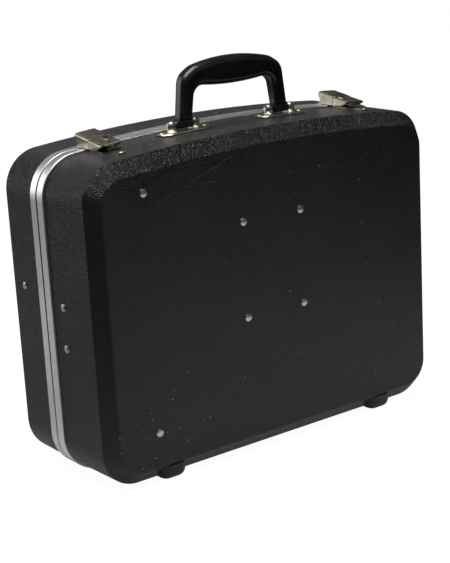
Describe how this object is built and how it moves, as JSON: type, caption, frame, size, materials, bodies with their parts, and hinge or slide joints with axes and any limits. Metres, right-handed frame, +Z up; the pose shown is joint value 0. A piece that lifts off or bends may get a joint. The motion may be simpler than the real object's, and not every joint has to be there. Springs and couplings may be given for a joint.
{
  "type": "hard carrying case",
  "caption": "Hard-sided kit case: two moulded half shells with aluminium edge strips, hinged at the bottom, with locking lever latches and a folding handle",
  "frame": {"origin": "centre of the bounding box at the underside of the feet", "axes": "X across the case to the right as seen from the front, -Y out of the front face, Z up through the handle"},
  "size_m": [0.456, 0.1748, 0.4162],
  "materials": {
    "shell": "leather grain, slight sheen",
    "valance": "satin",
    "plated": "zinc plated",
    "rivet": "satin",
    "nickel": "worn nickel",
    "brass": "dull",
    "dome": "polished by wear",
    "board": "black",
    "lining": "short pile",
    "pocket": "woven",
    "plug": "black",
    "grip": "satin",
    "black_steel": "black enamel",
    "lock": "nickel"
  },
  "bodies": {
    "base": {"base_shell": "shell", "base_valance": "valance", "hinge_leaf_base": "plated", "hinge_pin": "plated", "hinge_rivets_base": "rivet", "pedestal_left": "nickel", "pedestal_right": "nickel", "handle_pins": "plated", "pedestal_rivets": "brass", "pedestal_backing": "plated", "latch_plate_left": "nickel", "latch_plate_right": "nickel", "latch_rivets": "rivet", "front_rivets": "dome", "mount_plate": "plated", "divider": "board", "side_rivets": "dome", "stay_brackets": "plated", "base_liner": "lining"},
    "lid": {"lid_shell": "shell", "lid_valance": "valance", "hinge_leaf_lid": "plated", "hinge_rivets_lid": "rivet", "latch_cap_left": "nickel", "latch_cap_right": "nickel", "latch_pins": "plated", "cap_rivets": "rivet", "lid_plug": "plug", "stay_studs": "dome", "lid_liner": "lining", "lid_pocket": "pocket"},
    "handle": {"handle_grip": "grip", "handle_loops": "black_steel"},
    "lever_left": {"latch_lever_left": "nickel", "lock_barrel_left": "lock"},
    "lever_right": {"latch_lever_right": "nickel", "lock_barrel_right": "lock"},
    "plug_left": {"lock_plug_left": "lock"},
    "plug_right": {"lock_plug_right": "lock"},
    "stay_lower_left": {"stay_lower_left": "plated", "stay_rivet_left": "rivet"},
    "stay_lower_right": {"stay_lower_right": "plated", "stay_rivet_right": "rivet"},
    "stay_upper_left": {"stay_upper_left": "plated", "stay_cap_left": "rivet"},
    "stay_upper_right": {"stay_upper_right": "plated", "stay_cap_right": "rivet"}
  },
  "joints": [
    {"name": "lid_hinge", "type": "hinge", "parent": "base", "child": "lid", "pos_m": [0, 0.0076, 0.0023], "axis": [-1, 0, 0], "range_deg": [0, 90]},
    {"name": "handle_pivot", "type": "hinge", "parent": "base", "child": "handle", "pos_m": [0, -0.0204, 0.35292], "axis": [1, 0, 0], "range_deg": [-72, 72]},
    {"name": "lever_left_hinge", "type": "hinge", "parent": "lid", "child": "lever_left", "pos_m": [-0.16171, -0.0095, 0.34968], "axis": [-0.9968, 0, -0.0805], "range_deg": [0, 95]},
    {"name": "lock_left_turn", "type": "hinge", "parent": "lever_left", "child": "plug_left", "pos_m": [-0.15679, -0.0184, 0.35096], "axis": [-0.0796, -0.1471, 0.9859], "range_deg": [0, 90]},
    {"name": "lever_right_hinge", "type": "hinge", "parent": "lid", "child": "lever_right", "pos_m": [0.16171, -0.0095, 0.34968], "axis": [-0.9968, 0, 0.0805], "range_deg": [0, 95]},
    {"name": "lock_right_turn", "type": "hinge", "parent": "lever_right", "child": "plug_right", "pos_m": [0.15679, -0.0184, 0.35096], "axis": [-0.0796, 0.1471, -0.9859], "range_deg": [0, 90]},
    {"name": "stay_left_base", "type": "hinge", "parent": "base", "child": "stay_lower_left", "pos_m": [-0.2068, -0.0227, 0.1674], "axis": [1, 0, 0], "range_deg": [0, 24.32]},
    {"name": "stay_left_fold", "type": "hinge", "parent": "stay_lower_left", "child": "stay_upper_left", "pos_m": [-0.2088, 0.0076, 0.0314], "axis": [1, 0, 0], "range_deg": [-133.88, 0]},
    {"name": "stay_right_base", "type": "hinge", "parent": "base", "child": "stay_lower_right", "pos_m": [0.2068, -0.0227, 0.1674], "axis": [1, 0, 0], "range_deg": [0, 24.32]},
    {"name": "stay_right_fold", "type": "hinge", "parent": "stay_lower_right", "child": "stay_upper_right", "pos_m": [0.2088, 0.0076, 0.0314], "axis": [1, 0, 0], "range_deg": [-133.88, 0]}
  ],
  "couplings": [
    {"joint": "stay_left_base", "follows": "lid_hinge", "ratio": 0.27013},
    {"joint": "stay_left_fold", "follows": "lid_hinge", "ratio": -1.4874},
    {"joint": "stay_right_base", "follows": "lid_hinge", "ratio": 0.27013},
    {"joint": "stay_right_fold", "follows": "lid_hinge", "ratio": -1.4874}
  ]
}
